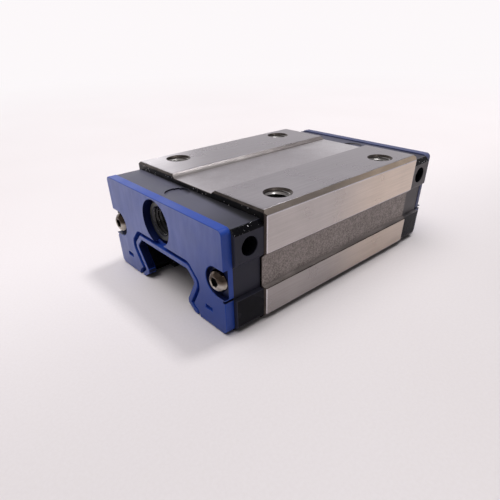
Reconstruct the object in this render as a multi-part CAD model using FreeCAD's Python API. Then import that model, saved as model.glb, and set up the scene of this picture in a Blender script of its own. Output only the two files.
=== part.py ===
import FreeCAD, Part
import math
import os

from FreeCAD import Vector

# Linear guide block, sizes in millimetres.
# X runs along the rail with the front end at minus X, Y runs across and
# Z runs up from the underside. Left is plus Y, right is minus Y.

# Steel carriage
block_width = 42.0
block_height = 22.0
steel_length = 47.5
top_chamfer = 0.95
bottom_chamfer = 1.25
end_chamfer = 0.4
top_recess_depth = 0.8
top_recess_width = 12.4
top_recess_slope = 1.0
side_recess_depth = 1.0
side_recess_low = 7.0
side_recess_high = 14.15
side_ledge_slope = 0.3

# Threaded holes in the top
bolt_spacing_x = 32.0
bolt_spacing_y = 32.0
bolt_core_radius = 2.1
bolt_mouth_radius = 2.75
bolt_depth = 7.0

# Rail that the block runs on
rail_width = 20.0
rail_top = 9.4
rail_running_gap = 0.3
rail_corner = 1.8
rail_undercut = 2.0
rail_flat = 1.2
rail_waist_foot = 2.1

# Rolling elements
ball_diameter = 3.175
ball_running_gap = 0.1
ball_spacing_gap = 0.2
balls_per_turn = 2
turn_spacing_gap = 0.29
row_offset = 1.9
upper_turn_angle = 45.0
lower_turn_angle = -10.0
track_wall_offset = 0.35
ceiling_clearance = 1.8
side_clearance = 1.65

# End caps
cap_thickness = 6.45
cap_inset = 0.4
cap_top_drop = 1.6
cap_chamfer = 0.95
cap_side_recess = 1.0
cap_ledge = 7.05
cap_rail_gap = 0.5
port_drop = 6.35
port_side = 0.9
port_core_radius = 2.6
port_boss_radius = 3.9
port_boss_length = 0.8
port_depth = 3.5
port_mouth = 0.4
grease_drill_radius = 0.9
grease_groove_width = 1.4
grease_groove_depth = 1.0
side_pilot_radius = 1.75
side_pilot_depth = 3.0
side_pilot_drop = 3.65
top_pilot_radius = 2.5
top_pilot_depth = 0.3
top_pilot_shift = 0.5
top_pilot_pip_radius = 0.2
top_pilot_pip_angles = (42, 70)

# End seals
seal_thickness = 2.0
seal_inset = 1.25
seal_nick_depth = 0.5
seal_nick_height = 0.5
seal_top_drop = 1.3
seal_corner = 1.0
seal_foot = 0.2
seal_foot_chamfer = 0.7
seal_port_radius = 4.65
lip_groove_width = 1.9
lip_groove_depth = 1.3
lip_ridge_width = 1.05
lip_ridge_drop = 0.15
lip_flat = 0.6
lip_bend = 0.65
lip_neck_top = 2.5
lip_neck_foot = 1.5
lip_heel = 2.0
lip_foot = 0.1
lip_foot_bevel = 0.5
slot_length = 2.0
slot_width = 0.85
slot_depth = 0.6
slot_distance = 2.55
slot_height = 3.4

# End screws
screw_radius = 1.25
screw_length = 14.0
screw_head_radius = 2.15
screw_head_height = 1.35
screw_socket = 1.6
screw_socket_depth = 0.9
screw_head_edge = 0.2
screw_bulge_height = 0.85
screw_bulge_radius = 1.86
screw_flat_radius = 1.2
screw_hole_gap = 0.15
screw_spare_depth = 1.0
screw_height = 10.6
screw_pocket_radius = 2.85
screw_seat = 1.05
screw_edge_distance = 2.3

# Plug in the rear grease port
plug_drop = 0.6
plug_end_gap = 0.3
plug_socket = 3.0
plug_socket_depth = 2.2

# Return guides
guide_flange = 0.35
guide_web_half = 1.1
guide_web_depth = 0.9

# Strips that keep the balls in when the block is off the rail
strip_reach = 1.5
side_strip_reach = 0.6
strip_ball_gap = 0.2
upper_strip_thickness = 0.9
lower_strip_thickness = 1.25
lower_strip_gap = 0.2
lower_strip_drop = 1.0
side_strip_gap = 0.35
side_strip_overlap = 0.4
bottom_seal_width = 4.2
bottom_seal_thickness = 0.95
bottom_seal_lift = 0.35
bottom_seal_bevel = 0.5

fit_gap = 0.05

# Derived positions
half_width = block_width / 2
steel_end = steel_length / 2
cap_front = steel_end + cap_thickness
seal_front = cap_front + seal_thickness
cap_half = half_width - cap_inset
cap_top = block_height - cap_top_drop
cap_middle = (steel_end + cap_front) / 2
port_height = block_height - port_drop
side_pilot_height = cap_top - side_pilot_drop
seal_half = half_width - seal_inset
seal_top = block_height - seal_top_drop
screw_side = seal_half - screw_edge_distance

opening_head = rail_width / 2 + rail_running_gap
opening_top_half = opening_head - rail_corner
opening_waist = opening_head - rail_undercut
lip_neck = opening_waist - lip_bend

ball_radius = ball_diameter / 2
track_radius = ball_radius + ball_running_gap
row_side = rail_width / 2
row_middle = rail_top - rail_corner - rail_flat / 2
upper_row = (row_side, row_middle + row_offset)
lower_row = (row_side, row_middle - row_offset)
turn_step = math.pi / balls_per_turn
turn_radius = (ball_diameter + turn_spacing_gap) / (2 * math.sin(turn_step / 2))
row_count = int(steel_length / (ball_diameter + ball_spacing_gap))
row_pitch = steel_length / row_count

channel_ceiling = upper_row[1] + ceiling_clearance
channel_side = row_side + side_clearance
wall_shift = track_wall_offset * math.sqrt(2)
ceiling_half = upper_row[0] + upper_row[1] + wall_shift - channel_ceiling
side_high = upper_row[0] + upper_row[1] + wall_shift - channel_side
side_low = channel_side - lower_row[0] + lower_row[1] - wall_shift
lower_strip_inside = opening_waist + lower_strip_gap
lower_strip_wall = lower_strip_inside + lower_strip_thickness
bottom_seat = bottom_seal_lift + bottom_seal_thickness
bottom_seal_outside = opening_waist + bottom_seal_width


# Small helpers for outlines and solids

def both_sides(half):
    """Full outline from the points of the plus Y half, top centre to foot."""
    other = [(-y, z) for y, z in reversed(half) if y > 0]
    return half + other


def outline(points, x):
    """Closed wire across the block at one place along the rail."""
    corners = [Vector(x, y, z) for y, z in points]
    return Part.makePolygon(corners + corners[:1])


def slab(points, x_start, x_end):
    """Solid with one outline, run along the rail."""
    face = Part.Face(outline(points, x_start))
    return face.extrude(Vector(x_end - x_start, 0, 0))


def widened_slab(points, distance, x_start, x_end):
    """Like slab, with the outline grown by a distance and its corners round."""
    wire = outline(points, x_start).makeOffset2D(distance, join=0)
    return Part.Face(wire).extrude(Vector(x_end - x_start, 0, 0))


def box(x_start, x_end, y_start, y_end, z_start, z_end):
    size = (x_end - x_start, y_end - y_start, z_end - z_start)
    return Part.makeBox(*size, Vector(x_start, y_start, z_start))


def rod(radius, x_start, x_end, y, z):
    """Round bar along the rail."""
    start = Vector(x_start, y, z)
    return Part.makeCylinder(radius, x_end - x_start, start, Vector(1, 0, 0))


def mirrored(shape):
    """Copy on the other side of the block's long middle plane."""
    return shape.mirror(Vector(0, 0, 0), Vector(0, 1, 0))


def pair(shape):
    """A shape on the left and its mirror image on the right."""
    return [shape, mirrored(shape)]


def at_rear(shape):
    """The same moulding turned half round to face the other end."""
    turned = shape.copy()
    turned.rotate(Vector(0, 0, 0), Vector(0, 0, 1), 180)
    return turned


# Paths of the balls

def outward(angle):
    """Unit step from a loaded row to its return hole, on the left side."""
    tilt = math.radians(angle)
    return Vector(0, math.cos(tilt), math.sin(tilt))


def turn_centre(row, angle, x):
    return Vector(x, row[0], row[1]) + outward(angle) * turn_radius


def return_row(row, angle):
    far = Vector(0, row[0], row[1]) + outward(angle) * (2 * turn_radius)
    return (far.y, far.z)


circuits = {
    "upper": (upper_row, upper_turn_angle),
    "lower": (lower_row, lower_turn_angle),
}


def turn_channel(row, angle, radius):
    """Half ring in the front cap from the loaded row to the return hole."""
    mouth = Vector(-steel_end, row[0], row[1])
    circle = Part.Circle(mouth, Vector(1, 0, 0), radius)
    face = Part.Face(Part.Wire(circle.toShape()))
    axis = Vector(1, 0, 0).cross(outward(angle))
    return face.revolve(turn_centre(row, angle, -steel_end), axis, -180)


def spool(row, angle, radius, half_length):
    """Half drum on the end of the steel that a turn runs round."""
    axis = Vector(1, 0, 0).cross(outward(angle))
    centre = turn_centre(row, angle, -steel_end)
    drum = Part.makeCylinder(radius, 2 * half_length, centre - axis * half_length, axis)
    keep = box(-cap_front, -steel_end, 0, block_width, -block_width, block_width)
    return drum.common(keep)


def left_channels():
    channels = []
    for row, angle in circuits.values():
        channels.append(turn_channel(row, angle, track_radius))
    return channels


# Strips beside the loaded rows, left and right

strip_end = steel_end + strip_reach
side_strip_end = steel_end + side_strip_reach
loaded_rows = [upper_row, lower_row]
row_bars = [rod(ball_radius + strip_ball_gap, -strip_end, strip_end, *row) for row in loaded_rows]
all_row_bars = row_bars + [mirrored(bar) for bar in row_bars]


def upper_strip(gap):
    """Flat strip under the ceiling of the channel."""
    low = channel_ceiling - upper_strip_thickness
    edge = ceiling_half + upper_strip_thickness
    half = [(0, channel_ceiling), (ceiling_half, channel_ceiling), (edge, low), (0, low)]
    strip = slab(both_sides(half), -strip_end, strip_end)
    strip = strip.cut(all_row_bars)
    return grown(strip, gap)


def side_strip(gap):
    """Strip on the left that keeps the two rows apart."""
    inside = row_side + side_strip_gap
    shoulder = channel_side - side_strip_overlap
    section = [
        (inside, side_low - side_strip_overlap),
        (shoulder, side_low - side_strip_overlap),
        (channel_side, side_low),
        (channel_side, side_high),
        (shoulder, side_high + side_strip_overlap),
        (inside, side_high + side_strip_overlap),
    ]
    strip = slab(section, -side_strip_end, side_strip_end)
    return grown(strip.cut(row_bars), gap)


def lower_strip(gap):
    """Strip on the left under the lower row."""
    top = lower_row[1] - lower_strip_drop
    strip = box(-strip_end, strip_end, lower_strip_inside, lower_strip_wall, bottom_seat, top)
    return grown(strip.cut(row_bars), gap)


def bottom_seal(gap):
    """Flat wiper on the left under the leg of the block."""
    half = [
        (opening_waist, bottom_seal_lift),
        (bottom_seal_outside, bottom_seal_lift),
        (bottom_seal_outside, bottom_seat),
        (opening_waist + bottom_seal_bevel, bottom_seat),
        (opening_waist, bottom_seat - bottom_seal_bevel),
    ]
    return grown(slab(half, -strip_end, strip_end), gap)


def grown(shape, gap):
    """The strip itself, or the slot that takes it with a little air round it."""
    if gap == 0:
        return shape
    slots = []
    for solid in shape.Solids:
        section = solid.slice(Vector(1, 0, 0), 0.0)
        wire = section[0].makeOffset2D(gap, join=2)
        end = solid.BoundBox.XMax + gap
        wire.translate(Vector(-end, 0, 0))
        slots.append(Part.Face(wire).extrude(Vector(2 * end, 0, 0)))
    return Part.makeCompound(slots)


def strip_slots():
    """Slots for every strip, both sides."""
    slots = [upper_strip(fit_gap)]
    for strip in (side_strip, lower_strip, bottom_seal):
        slots.extend(pair(strip(fit_gap)))
    return slots


# Return guides in the end caps

guide_half_length = track_radius + guide_flange


def screw_clearance(x_start, x_end):
    """Hole that lets the shank of an end screw pass, on the left."""
    return rod(screw_radius + screw_hole_gap, x_start, x_end, screw_side, screw_height)


def guide_blank(gap):
    """Two half drums and the web between them, on the left of the front end."""
    parts = []
    centres = []
    for row, angle in circuits.values():
        parts.append(spool(row, angle, turn_radius + gap, guide_half_length + gap))
        centres.append(turn_centre(row, angle, -steel_end))
    upper, lower = centres
    reach = guide_web_half + gap
    web = slab(
        [
            (upper.y - reach, upper.z),
            (upper.y + reach, upper.z),
            (lower.y + reach, lower.z),
            (lower.y - reach, lower.z),
        ],
        -steel_end - guide_web_depth - gap,
        -steel_end,
    )
    return parts[0].fuse(parts[1]).fuse(web)


def return_guide():
    """Inner half of both turns on the left of the front end."""
    strips_side = box(-cap_front, -steel_end, 0, channel_side + fit_gap, 0, block_height)
    screw_path = screw_clearance(-cap_front, -steel_end)
    return guide_blank(0).cut(left_channels() + [strips_side, screw_path])


# Opening for the rail, and the lip of the seal that wipes the rail

opening_half = [
    (0, rail_top),
    (opening_top_half, rail_top),
    (opening_head, rail_top - rail_corner),
    (opening_head, rail_top - rail_corner - rail_flat),
    (opening_waist, rail_top - rail_corner - rail_flat - rail_undercut),
    (opening_waist, rail_waist_foot),
    (opening_head, rail_waist_foot - rail_undercut),
    (opening_head, -rail_undercut),
    (0, -rail_undercut),
]
opening_outline = both_sides(opening_half)

lip_half = [
    (0, rail_top),
    (opening_top_half, rail_top),
    (opening_head, rail_top - rail_corner),
    (opening_head, rail_top - rail_corner - lip_flat),
    (lip_neck, lip_neck_top),
    (lip_neck, lip_neck_foot),
    (lip_neck + lip_heel, lip_foot),
    (lip_neck + lip_heel, -rail_undercut),
    (0, -rail_undercut),
]
lip_outline = both_sides(lip_half)


# Steel carriage

def carriage_body():
    half = [
        (0, block_height - top_recess_depth),
        (top_recess_width / 2, block_height - top_recess_depth),
        (top_recess_width / 2 + top_recess_slope, block_height),
        (half_width - top_chamfer, block_height),
        (half_width, block_height - top_chamfer),
        (half_width, side_recess_high),
        (half_width - side_recess_depth, side_recess_high - side_recess_depth),
        (half_width - side_recess_depth, side_recess_low + side_ledge_slope),
        (half_width, side_recess_low),
        (half_width, bottom_chamfer),
        (half_width - bottom_chamfer, 0),
        (0, 0),
    ]
    body = slab(both_sides(half), -steel_end, steel_end)
    channel = [
        (0, channel_ceiling),
        (ceiling_half, channel_ceiling),
        (channel_side, side_high),
        (channel_side, side_low),
        (lower_strip_wall, side_low - channel_side + lower_strip_wall),
        (lower_strip_wall, bottom_seat),
        (bottom_seal_outside, bottom_seat),
        (bottom_seal_outside, -bottom_seat),
        (0, -bottom_seat),
    ]
    cuts = [slab(both_sides(channel), -steel_end, steel_end)]
    for row, angle in circuits.values():
        cuts.extend(pair(rod(track_radius, -steel_end, steel_end, *row)))
        back = return_row(row, angle)
        cuts.extend(pair(rod(track_radius, -steel_end, steel_end, *back)))
    cuts.extend(bolt_holes())
    cuts.extend(tapped_end_holes())
    cuts.extend(end_edges())
    return body.cut(cuts)


def bolt_holes():
    """Blind holes in the pads, each with a broken mouth."""
    holes = []
    up = Vector(0, 0, 1)
    mouth_depth = bolt_mouth_radius - bolt_core_radius
    floor = block_height - bolt_depth
    for x in (-bolt_spacing_x / 2, bolt_spacing_x / 2):
        for y in (-bolt_spacing_y / 2, bolt_spacing_y / 2):
            bore = Part.makeCylinder(bolt_core_radius, bolt_depth, Vector(x, y, floor), up)
            mouth_start = Vector(x, y, block_height - mouth_depth)
            mouth = Part.makeCone(bolt_core_radius, bolt_mouth_radius, mouth_depth, mouth_start, up)
            holes.append(bore.fuse(mouth))
    return holes


def tapped_end_holes():
    """Holes in the end faces that take the end screws."""
    holes = []
    depth = screw_length - cap_thickness - screw_seat + screw_spare_depth
    radius = screw_radius + fit_gap
    for start in (-steel_end, steel_end - depth):
        holes.extend(pair(rod(radius, start, start + depth, screw_side, screw_height)))
    return holes


def end_edges():
    """Small chamfers on the end edges of the pads and the side bands."""
    wedges = []
    for end in (-1, 1):
        outer = end * steel_end
        inner = end * (steel_end - end_chamfer)
        top = [
            Vector(outer, -half_width, block_height),
            Vector(inner, -half_width, block_height),
            Vector(outer, -half_width, block_height - end_chamfer),
        ]
        face = Part.Face(Part.makePolygon(top + top[:1]))
        wedges.append(face.extrude(Vector(0, block_width, 0)))
        side = [
            Vector(outer, half_width, 0),
            Vector(inner, half_width, 0),
            Vector(outer, half_width - end_chamfer, 0),
        ]
        face = Part.Face(Part.makePolygon(side + side[:1]))
        wedges.extend(pair(face.extrude(Vector(0, 0, block_height))))
    return wedges


# End caps

def end_cap():
    """Moulded cap on the front end of the steel."""
    half = [
        (0, cap_top),
        (cap_half - cap_chamfer, cap_top),
        (cap_half, cap_top - cap_chamfer),
        (cap_half, side_recess_high),
        (cap_half - cap_side_recess, side_recess_high - cap_side_recess),
        (cap_half - cap_side_recess, cap_ledge),
        (cap_half, cap_ledge),
        (cap_half, bottom_chamfer),
        (cap_half - bottom_chamfer, 0),
        (0, 0),
    ]
    cap = slab(both_sides(half), -cap_front, -steel_end)
    boss_end = -cap_front - port_boss_length
    cap = cap.fuse(rod(port_boss_radius, boss_end, -cap_front, port_side, port_height))
    cuts = [widened_slab(opening_outline, cap_rail_gap, -cap_front, -steel_end)]
    for channel in left_channels():
        cuts.extend(pair(channel))
    cuts.extend(pair(guide_blank(fit_gap)))
    cuts.extend(strip_slots())
    cuts.extend(pair(screw_clearance(-cap_front, -steel_end)))
    cuts.extend(port_cuts(boss_end))
    cuts.extend(pilot_recesses())
    return cap.cut(cuts)


def port_cuts(boss_end):
    """Grease port, its drilling and the groove that feeds the turns."""
    port_end = -cap_front + port_depth
    port = rod(port_core_radius, boss_end, port_end, port_side, port_height)
    wide = port_core_radius + port_mouth
    start = Vector(boss_end, port_side, port_height)
    mouth = Part.makeCone(wide, port_core_radius, port_mouth, start, Vector(1, 0, 0))
    drilling = rod(grease_drill_radius, port_end, -steel_end, port_side, port_height)
    upper_return = return_row(*circuits["upper"])
    groove_half = grease_groove_width / 2
    groove_back = -steel_end - grease_groove_depth
    side = upper_return[0]
    across = box(
        groove_back,
        -steel_end,
        -side - groove_half,
        side + groove_half,
        port_height - groove_half,
        port_height + groove_half,
    )
    down = box(
        groove_back, -steel_end, side - groove_half, side + groove_half, upper_return[1], port_height
    )
    return [port, mouth, drilling, across] + pair(down)


def pilot_recesses():
    """Blind recesses in the sides and top for other grease points."""
    start = Vector(-cap_middle, cap_half - side_pilot_depth, side_pilot_height)
    side = Part.makeCylinder(side_pilot_radius, side_pilot_depth, start, Vector(0, 1, 0))
    floor = Vector(top_pilot_shift - cap_middle, port_side, cap_top - top_pilot_depth)
    top = Part.makeCylinder(top_pilot_radius, top_pilot_depth, floor, Vector(0, 0, 1))
    pips = []
    for angle in top_pilot_pip_angles:
        turn = math.radians(angle)
        reach = Vector(math.cos(turn), math.sin(turn), 0) * top_pilot_radius
        pips.append(Part.makeCylinder(top_pilot_pip_radius, top_pilot_depth, floor + reach))
    return pair(side) + [top.cut(pips)]


# End seals

def end_seal():
    """Wiper plate on the front cap, with a raised lip round the rail."""
    half = [
        (0, seal_top),
        (seal_half, seal_top),
        (seal_half, cap_ledge + seal_nick_height),
        (seal_half - seal_nick_depth, cap_ledge + seal_nick_height),
        (seal_half - seal_nick_depth, cap_ledge),
        (seal_half, cap_ledge),
        (seal_half, seal_foot + seal_foot_chamfer),
        (seal_half - seal_foot_chamfer, seal_foot),
        (opening_head + lip_groove_width, seal_foot),
        (opening_head + lip_groove_width - lip_foot_bevel, lip_foot),
        (0, lip_foot),
    ]
    plate = slab(both_sides(half), -seal_front, -cap_front)
    corners = []
    for edge in plate.Edges:
        middle = edge.CenterOfMass
        if abs(abs(middle.y) - seal_half) < 0.01 and abs(middle.z - seal_top) < 0.01:
            corners.append(edge)
    plate = plate.makeFillet(seal_corner, corners)
    groove_floor = -seal_front + lip_groove_depth
    plate = plate.cut(widened_slab(lip_outline, lip_groove_width, -seal_front, groove_floor))
    ridge_start = -seal_front + lip_ridge_drop
    ridge = widened_slab(lip_outline, lip_ridge_width, ridge_start, groove_floor)
    above_foot = box(-seal_front, -cap_front, -half_width, half_width, lip_foot, block_height)
    plate = plate.fuse(ridge.common(above_foot))
    cuts = [slab(lip_outline, -seal_front, -cap_front)]
    cuts.append(rod(seal_port_radius, -seal_front, -cap_front, port_side, port_height))
    cuts.extend(pair(screw_pocket()))
    cuts.extend(pair(screw_clearance(-seal_front, -cap_front)))
    slot_side = opening_head + lip_groove_width + slot_distance - slot_length / 2
    slot = Part.makeBox(slot_depth, slot_length, slot_width, Vector(-seal_front, slot_side, slot_height))
    cuts.extend(pair(slot))
    return plate.cut(cuts).removeSplitter()


def screw_pocket():
    """Round-ended pocket for a screw head on the left, open to the side."""
    floor = -cap_front - screw_seat
    low = screw_height - screw_pocket_radius
    high = screw_height + screw_pocket_radius
    round_end = rod(screw_pocket_radius, -seal_front, floor, screw_side, screw_height)
    return round_end.fuse(box(-seal_front, floor, screw_side, half_width, low, high))


# Screws and plug

def hexagon(width, x_start, x_end, y, z):
    """Six-sided bar along the rail, by its width across the flats."""
    reach = width / math.sqrt(3)
    points = []
    for side in range(6):
        turn = math.radians(60 * side)
        points.append((y + reach * math.sin(turn), z + reach * math.cos(turn)))
    return slab(points, x_start, x_end)


def end_screw():
    """Button-head socket screw through the front seal and cap, on the left."""
    seat = -cap_front - screw_seat
    top = seat - screw_head_height
    rim = Vector(seat, screw_head_radius, 0)
    shoulder = Vector(seat - screw_head_edge, screw_head_radius, 0)
    bulge = Vector(seat - screw_bulge_height, screw_bulge_radius, 0)
    flat = Vector(top, screw_flat_radius, 0)
    axis_top = Vector(top, 0, 0)
    axis_seat = Vector(seat, 0, 0)
    dome = Part.Arc(shoulder, bulge, flat).toShape()
    edges = [
        Part.makeLine(axis_seat, rim),
        Part.makeLine(rim, shoulder),
        dome,
        Part.makeLine(flat, axis_top),
        Part.makeLine(axis_top, axis_seat),
    ]
    head = Part.Face(Part.Wire(edges)).revolve(Vector(0, 0, 0), Vector(1, 0, 0), 360)
    head.translate(Vector(0, screw_side, screw_height))
    shank = rod(screw_radius, seat, seat + screw_length, screw_side, screw_height)
    socket = hexagon(screw_socket, top, top + screw_socket_depth, screw_side, screw_height)
    return head.fuse(shank).cut(socket).removeSplitter()


def port_plug():
    """Headless screw that closes a grease port, drawn in the front one."""
    start = -cap_front - port_boss_length + plug_drop
    end = -cap_front + port_depth - plug_end_gap
    plug = rod(port_core_radius - fit_gap, start, end, port_side, port_height)
    return plug.cut(hexagon(plug_socket, start, start + plug_socket_depth, port_side, port_height))


# Balls of one circuit on the left side

def straight_balls(row):
    balls = []
    for number in range(row_count):
        x = -steel_end + (number + 0.5) * row_pitch
        balls.append(Part.makeSphere(ball_radius, Vector(x, row[0], row[1])))
    return Part.makeCompound(balls)


def turn_balls(row, angle):
    """Balls in the front turn."""
    balls = []
    step = outward(angle)
    centre = turn_centre(row, angle, -steel_end)
    for number in range(balls_per_turn):
        swing = (number + 0.5) * turn_step
        reach = step * (-math.cos(swing)) - Vector(1, 0, 0) * math.sin(swing)
        balls.append(Part.makeSphere(ball_radius, centre + reach * turn_radius))
    return Part.makeCompound(balls)


# All pieces by name

def all_pieces():
    cap = end_cap()
    seal = end_seal()
    screws = Part.makeCompound(pair(end_screw()))
    guide = return_guide()
    pieces = {
        "carriage_body": carriage_body(),
        "front_end_cap": cap,
        "rear_end_cap": at_rear(cap),
        "front_end_seal": seal,
        "rear_end_seal": at_rear(seal),
        "front_end_screws": screws,
        "rear_end_screws": at_rear(screws),
        "front_left_return_guide": guide,
        "front_right_return_guide": mirrored(guide),
        "rear_left_return_guide": at_rear(mirrored(guide)),
        "rear_right_return_guide": at_rear(guide),
        "upper_ball_strip": upper_strip(0),
        "left_side_ball_strip": side_strip(0),
        "right_side_ball_strip": mirrored(side_strip(0)),
        "left_lower_ball_strip": lower_strip(0),
        "right_lower_ball_strip": mirrored(lower_strip(0)),
        "left_bottom_seal": bottom_seal(0),
        "right_bottom_seal": mirrored(bottom_seal(0)),
        "rear_port_plug": at_rear(port_plug()),
    }
    for level, (row, angle) in circuits.items():
        load = straight_balls(row)
        back = straight_balls(return_row(row, angle))
        turn = turn_balls(row, angle)
        pieces[level + "_left_load_balls"] = load
        pieces[level + "_right_load_balls"] = mirrored(load)
        pieces[level + "_left_return_balls"] = back
        pieces[level + "_right_return_balls"] = mirrored(back)
        pieces[level + "_left_front_turn_balls"] = turn
        pieces[level + "_right_front_turn_balls"] = mirrored(turn)
        pieces[level + "_left_rear_turn_balls"] = at_rear(mirrored(turn))
        pieces[level + "_right_rear_turn_balls"] = at_rear(turn)
    return pieces


os.makedirs("parts", exist_ok=True)
for name, shape in all_pieces().items():
    solids = len(shape.Solids)
    print(name, "solids", solids, "valid", shape.isValid(), "volume", round(shape.Volume, 1))
    shape.exportStep("parts/" + name + ".step")
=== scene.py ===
# %% [markdown]
# # A linear guide block
#
# The block is a ground steel carriage that runs on a rail. Each end carries a black plastic cap, in
# which the balls turn round, and a blue seal that wipes the rail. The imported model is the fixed
# frame: every piece made here goes where the frame says, in metres.

# %% Load the frame
import math

import bmesh
import bpy
from mathutils import Matrix, Vector


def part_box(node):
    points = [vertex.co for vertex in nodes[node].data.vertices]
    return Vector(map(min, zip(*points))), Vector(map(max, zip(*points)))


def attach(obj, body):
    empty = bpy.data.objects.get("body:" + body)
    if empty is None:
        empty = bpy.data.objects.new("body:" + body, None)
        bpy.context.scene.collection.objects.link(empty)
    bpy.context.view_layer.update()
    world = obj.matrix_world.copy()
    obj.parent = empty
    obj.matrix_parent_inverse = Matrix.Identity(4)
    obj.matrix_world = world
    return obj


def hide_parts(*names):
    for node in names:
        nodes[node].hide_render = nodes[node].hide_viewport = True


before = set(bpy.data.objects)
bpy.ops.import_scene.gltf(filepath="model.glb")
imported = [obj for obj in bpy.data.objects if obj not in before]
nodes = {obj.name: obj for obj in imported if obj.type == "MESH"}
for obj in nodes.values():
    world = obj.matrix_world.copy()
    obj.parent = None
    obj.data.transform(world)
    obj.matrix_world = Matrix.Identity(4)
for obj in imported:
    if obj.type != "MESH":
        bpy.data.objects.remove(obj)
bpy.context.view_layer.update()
mm = 0.001

# %% [markdown]
# ## The camera
#
# The photograph looks down on a corner of the block from close by, so near edges are clearly longer
# than far ones. A camera can be set by eye, but the frame's own corners do it better: where they lie
# in the picture gave the place, the angles and the lens. The optical centre lies below the middle of
# the picture, and a small vertical shift of the lens stands for that.

# %% Camera
camera_place = Vector((-67.08, -66.23, 47.10)) * mm
camera_turn = -41.155
camera_height = 34.11
camera_roll = -1.20
focal_pixels = 408.1
centre_drop_pixels = 50.3
picture_pixels = 500
sensor_width = 36.0
nearest_seen = 0.005


def looking(turn, height, roll):
    """Rotation of a camera that looks down on the block from that side, with angles in degrees."""
    turn, height, roll = (math.radians(angle) for angle in (turn, height, roll))
    across = math.cos(height)
    back = Vector((math.sin(turn) * across, -math.cos(turn) * across, math.sin(height)))
    level = (-back).to_track_quat("-Z", "Y")
    return level @ Matrix.Rotation(roll, 3, "Z").to_quaternion()


lens = bpy.data.cameras.new("camera")
lens.sensor_width = sensor_width
lens.lens = focal_pixels * sensor_width / picture_pixels
lens.shift_y = centre_drop_pixels / picture_pixels
lens.clip_start = nearest_seen
camera = bpy.data.objects.new("camera", lens)
camera.location = camera_place
camera.rotation_mode = "QUATERNION"
camera.rotation_quaternion = looking(camera_turn, camera_height, camera_roll)
bpy.context.scene.collection.objects.link(camera)
bpy.context.scene.camera = camera
print("lens", round(lens.lens, 2), "mm, shift", round(lens.shift_y, 3))

# %% [markdown]
# ## Tools for finishes
#
# Every finish here is one surface shader with a little irregularity fed into it: patches of noise
# that are a known number of millimetres across. Painted pictures could do that too, but noise has no
# seams and stays sharp from close by. It is read in the piece's own coordinates, so it stays on the
# piece when the camera moves. A few small helpers cover all of it: a shader, a pattern, and a pattern
# turned into numbers, into colours or into relief.

# %% Helpers for shaders
def new_finish(name, colour, roughness, metallic=0.0):
    """A material with one surface shader, ready for detail."""
    finish = bpy.data.materials.new(name)
    finish.use_nodes = True
    surface = finish.node_tree.nodes["Principled BSDF"]
    surface.inputs["Base Color"].default_value = (*colour, 1)
    surface.inputs["Roughness"].default_value = roughness
    surface.inputs["Metallic"].default_value = metallic
    return finish, surface


def add_node(owner, kind, **sockets):
    """One more node of a material or of the room, with its sockets set by name."""
    node = owner.node_tree.nodes.new(kind)
    for socket, value in sockets.items():
        node.inputs[socket].default_value = value
    return node


def join(owner, source, target):
    """Feed an output into a socket, or set the socket where the source is a plain number or colour."""
    if isinstance(source, bpy.types.NodeSocket):
        owner.node_tree.links.new(source, target)
    else:
        target.default_value = source


print("helpers for shaders are ready")

# %% Helpers for patterns
def place_on(finish):
    """Coordinates on the piece itself, in metres."""
    return add_node(finish, "ShaderNodeTexCoord").outputs["Object"]


def patches(finish, size, stretch=(1, 1, 1), detail=2.0):
    """Irregular patches, size millimetres across, drawn out along the stretched axes."""
    per_metre = [1 / (size * mm * part) for part in stretch]
    scaled = add_node(finish, "ShaderNodeMapping", Scale=per_metre)
    noise = add_node(finish, "ShaderNodeTexNoise", Scale=1.0, Detail=detail)
    join(finish, place_on(finish), scaled.inputs["Vector"])
    join(finish, scaled.outputs["Vector"], noise.inputs["Vector"])
    return noise.outputs["Fac"]


def reach_along(owner, place, direction):
    """How far a place reaches along a direction."""
    way = add_node(owner, "ShaderNodeVectorMath")
    way.operation = "DOT_PRODUCT"
    join(owner, place, way.inputs[0])
    join(owner, Vector(direction).normalized(), way.inputs[1])
    return way.outputs["Value"]


def soft_step(owner, reach, start, stop):
    """A number that swells from 0 to 1 between two lengths in metres."""
    ramp = add_node(owner, "ShaderNodeMapRange", **{"From Min": start, "From Max": stop})
    ramp.interpolation_type = "SMOOTHSTEP"
    join(owner, reach, ramp.inputs["Value"])
    return ramp.outputs["Result"]


def along(finish, direction, start, stop):
    """A number that swells from 0 to 1 between two places in millimetres along a direction."""
    return soft_step(finish, reach_along(finish, place_on(finish), direction), start * mm, stop * mm)


print("helpers for patterns are ready")

# %% Helpers for numbers and colours
patch_low = 0.35
patch_high = 0.65


def numbers(owner, pattern, low, high, start=patch_low, stop=patch_high):
    """A pattern spread over a range of numbers."""
    limits = {"From Min": start, "From Max": stop, "To Min": low, "To Max": high}
    spread = add_node(owner, "ShaderNodeMapRange", **limits)
    join(owner, pattern, spread.inputs["Value"])
    return spread.outputs["Result"]


def colours(finish, pattern, dark, light, start=patch_low, stop=patch_high):
    """A pattern turned into shades between two colours."""
    ramp = add_node(finish, "ShaderNodeValToRGB")
    ramp.color_ramp.elements[0].position = start
    ramp.color_ramp.elements[0].color = (*dark, 1)
    ramp.color_ramp.elements[1].position = stop
    ramp.color_ramp.elements[1].color = (*light, 1)
    join(finish, pattern, ramp.inputs["Fac"])
    return ramp.outputs["Color"]


print("helpers for numbers and colours are ready")

# %% Helpers for films and relief
mix_share, mix_first, mix_second, mix_result = 0, 6, 7, 2


def blended(finish, share, first, second, way="MIX"):
    """Two coloured patterns laid over each other. The node's colour sockets go by number."""
    mix = add_node(finish, "ShaderNodeMix")
    mix.data_type = "RGBA"
    mix.blend_type = way
    join(finish, share, mix.inputs[mix_share])
    join(finish, first, mix.inputs[mix_first])
    join(finish, second, mix.inputs[mix_second])
    return mix.outputs[mix_result]


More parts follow.
